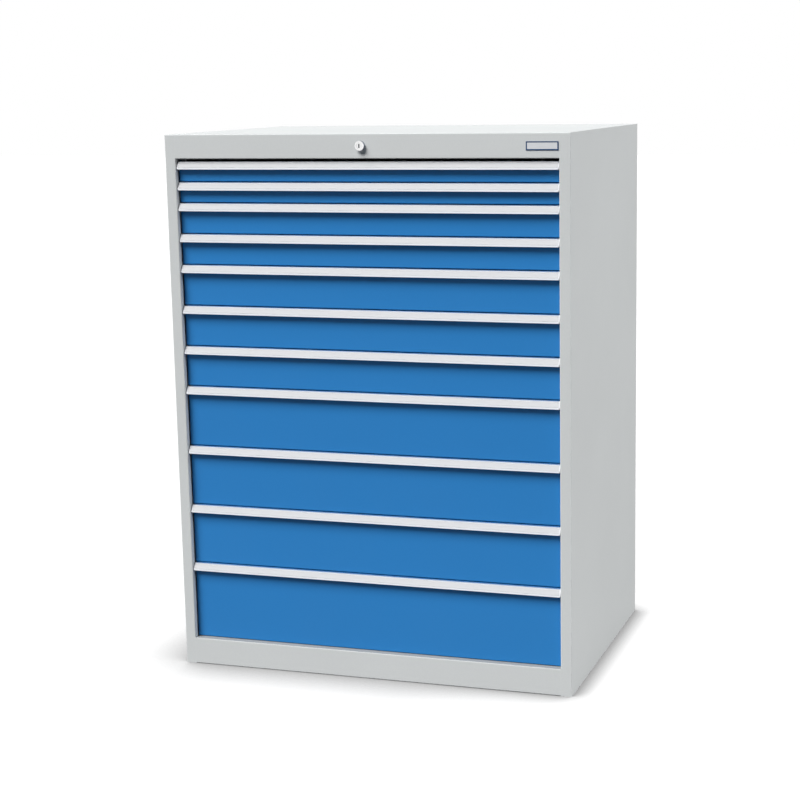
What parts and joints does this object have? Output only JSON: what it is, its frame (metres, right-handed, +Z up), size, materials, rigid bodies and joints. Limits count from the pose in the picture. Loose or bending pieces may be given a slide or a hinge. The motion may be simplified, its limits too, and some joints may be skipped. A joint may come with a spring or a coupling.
{
  "type": "drawer cabinet",
  "caption": "Floor-standing steel workshop cabinet with graded full-extension drawers, full-width sloped grip strips and a central cylinder lock in the top rail.",
  "frame": {"origin": "on the floor under the middle of the housing's outline", "axes": "+Z up, -Y out of the drawer fronts, +X to the right seen from the front"},
  "size_m": [1.005, 0.746, 1.325],
  "materials": {
    "housing_paint": "light grey fine-texture powder coat on steel sheet",
    "front_paint": "light blue fine-texture powder coat on steel sheet",
    "tray_paint": "light grey powder coat on steel sheet",
    "grip_aluminium": "satin anodised extrusion with a white label strip and grey end caps",
    "zinc_steel": "bright zinc plating",
    "nickel": "satin nickel",
    "nameplate": "printed aluminium plate with a blue border, bare field"
  },
  "bodies": {
    "housing": {"left_side_panel": "housing_paint", "right_side_panel": "housing_paint", "top_panel": "housing_paint", "back_panel": "housing_paint", "front_plinth": "housing_paint", "floor_panel": "housing_paint", "uprights": "zinc_steel", "cabinet_rails": "zinc_steel", "nameplate": "nameplate", "lock_housing": "nickel", "lock_nut": "zinc_steel", "shaft_bearing": "zinc_steel", "bar_guides": "zinc_steel"},
    "drawer_01": {"drawer_01_tray": "tray_paint", "drawer_01_front": "front_paint", "drawer_01_handle": "grip_aluminium"},
    "slides_01": {"drawer_01_slides": "zinc_steel"},
    "drawer_02": {"drawer_02_tray": "tray_paint", "drawer_02_front": "front_paint", "drawer_02_handle": "grip_aluminium"},
    "slides_02": {"drawer_02_slides": "zinc_steel"},
    "drawer_03": {"drawer_03_tray": "tray_paint", "drawer_03_front": "front_paint", "drawer_03_handle": "grip_aluminium"},
    "slides_03": {"drawer_03_slides": "zinc_steel"},
    "drawer_04": {"drawer_04_tray": "tray_paint", "drawer_04_front": "front_paint", "drawer_04_handle": "grip_aluminium"},
    "slides_04": {"drawer_04_slides": "zinc_steel"},
    "drawer_05": {"drawer_05_tray": "tray_paint", "drawer_05_front": "front_paint", "drawer_05_handle": "grip_aluminium"},
    "slides_05": {"drawer_05_slides": "zinc_steel"},
    "drawer_06": {"drawer_06_tray": "tray_paint", "drawer_06_front": "front_paint", "drawer_06_handle": "grip_aluminium"},
    "slides_06": {"drawer_06_slides": "zinc_steel"},
    "drawer_07": {"drawer_07_tray": "tray_paint", "drawer_07_front": "front_paint", "drawer_07_handle": "grip_aluminium"},
    "slides_07": {"drawer_07_slides": "zinc_steel"},
    "drawer_08": {"drawer_08_tray": "tray_paint", "drawer_08_front": "front_paint", "drawer_08_handle": "grip_aluminium"},
    "slides_08": {"drawer_08_slides": "zinc_steel"},
    "drawer_09": {"drawer_09_tray": "tray_paint", "drawer_09_front": "front_paint", "drawer_09_handle": "grip_aluminium"},
    "slides_09": {"drawer_09_slides": "zinc_steel"},
    "drawer_10": {"drawer_10_tray": "tray_paint", "drawer_10_front": "front_paint", "drawer_10_handle": "grip_aluminium"},
    "slides_10": {"drawer_10_slides": "zinc_steel"},
    "drawer_11": {"drawer_11_tray": "tray_paint", "drawer_11_front": "front_paint", "drawer_11_handle": "grip_aluminium"},
    "slides_11": {"drawer_11_slides": "zinc_steel"},
    "lock": {"lock_plug": "nickel", "lock_shaft": "zinc_steel"},
    "locking_bar": {"locking_bar": "zinc_steel"}
  },
  "joints": [
    {"name": "drawer_01_slide", "type": "slide", "parent": "housing", "child": "drawer_01", "axis": [0, -1, 0], "range_m": [0, 0.62]},
    {"name": "slides_01_extend", "type": "slide", "parent": "housing", "child": "slides_01", "axis": [0, -1, 0], "range_m": [0, 0.31]},
    {"name": "drawer_02_slide", "type": "slide", "parent": "housing", "child": "drawer_02", "axis": [0, -1, 0], "range_m": [0, 0.62]},
    {"name": "slides_02_extend", "type": "slide", "parent": "housing", "child": "slides_02", "axis": [0, -1, 0], "range_m": [0, 0.31]},
    {"name": "drawer_03_slide", "type": "slide", "parent": "housing", "child": "drawer_03", "axis": [0, -1, 0], "range_m": [0, 0.62]},
    {"name": "slides_03_extend", "type": "slide", "parent": "housing", "child": "slides_03", "axis": [0, -1, 0], "range_m": [0, 0.31]},
    {"name": "drawer_04_slide", "type": "slide", "parent": "housing", "child": "drawer_04", "axis": [0, -1, 0], "range_m": [0, 0.62]},
    {"name": "slides_04_extend", "type": "slide", "parent": "housing", "child": "slides_04", "axis": [0, -1, 0], "range_m": [0, 0.31]},
    {"name": "drawer_05_slide", "type": "slide", "parent": "housing", "child": "drawer_05", "axis": [0, -1, 0], "range_m": [0, 0.62]},
    {"name": "slides_05_extend", "type": "slide", "parent": "housing", "child": "slides_05", "axis": [0, -1, 0], "range_m": [0, 0.31]},
    {"name": "drawer_06_slide", "type": "slide", "parent": "housing", "child": "drawer_06", "axis": [0, -1, 0], "range_m": [0, 0.62]},
    {"name": "slides_06_extend", "type": "slide", "parent": "housing", "child": "slides_06", "axis": [0, -1, 0], "range_m": [0, 0.31]},
    {"name": "drawer_07_slide", "type": "slide", "parent": "housing", "child": "drawer_07", "axis": [0, -1, 0], "range_m": [0, 0.62]},
    {"name": "slides_07_extend", "type": "slide", "parent": "housing", "child": "slides_07", "axis": [0, -1, 0], "range_m": [0, 0.31]},
    {"name": "drawer_08_slide", "type": "slide", "parent": "housing", "child": "drawer_08", "axis": [0, -1, 0], "range_m": [0, 0.62]},
    {"name": "slides_08_extend", "type": "slide", "parent": "housing", "child": "slides_08", "axis": [0, -1, 0], "range_m": [0, 0.31]},
    {"name": "drawer_09_slide", "type": "slide", "parent": "housing", "child": "drawer_09", "axis": [0, -1, 0], "range_m": [0, 0.62]},
    {"name": "slides_09_extend", "type": "slide", "parent": "housing", "child": "slides_09", "axis": [0, -1, 0], "range_m": [0, 0.31]},
    {"name": "drawer_10_slide", "type": "slide", "parent": "housing", "child": "drawer_10", "axis": [0, -1, 0], "range_m": [0, 0.62]},
    {"name": "slides_10_extend", "type": "slide", "parent": "housing", "child": "slides_10", "axis": [0, -1, 0], "range_m": [0, 0.31]},
    {"name": "drawer_11_slide", "type": "slide", "parent": "housing", "child": "drawer_11", "axis": [0, -1, 0], "range_m": [0, 0.62]},
    {"name": "slides_11_extend", "type": "slide", "parent": "housing", "child": "slides_11", "axis": [0, -1, 0], "range_m": [0, 0.31]},
    {"name": "lock_turn", "type": "hinge", "parent": "housing", "child": "lock", "pos_m": [0, -0.368, 1.297], "axis": [0, 1, 0], "range_deg": [0, 90]},
    {"name": "locking_bar_lift", "type": "slide", "parent": "housing", "child": "locking_bar", "axis": [0, 0, 1], "range_m": [0, 0.01131]}
  ],
  "couplings": [
    {"joint": "slides_01_extend", "follows": "drawer_01_slide", "ratio": 0.5},
    {"joint": "slides_02_extend", "follows": "drawer_02_slide", "ratio": 0.5},
    {"joint": "slides_03_extend", "follows": "drawer_03_slide", "ratio": 0.5},
    {"joint": "slides_04_extend", "follows": "drawer_04_slide", "ratio": 0.5},
    {"joint": "slides_05_extend", "follows": "drawer_05_slide", "ratio": 0.5},
    {"joint": "slides_06_extend", "follows": "drawer_06_slide", "ratio": 0.5},
    {"joint": "slides_07_extend", "follows": "drawer_07_slide", "ratio": 0.5},
    {"joint": "slides_08_extend", "follows": "drawer_08_slide", "ratio": 0.5},
    {"joint": "slides_09_extend", "follows": "drawer_09_slide", "ratio": 0.5},
    {"joint": "slides_10_extend", "follows": "drawer_10_slide", "ratio": 0.5},
    {"joint": "slides_11_extend", "follows": "drawer_11_slide", "ratio": 0.5},
    {"joint": "lock_turn", "follows": "locking_bar_lift", "rad_per_m": 138.84}
  ]
}
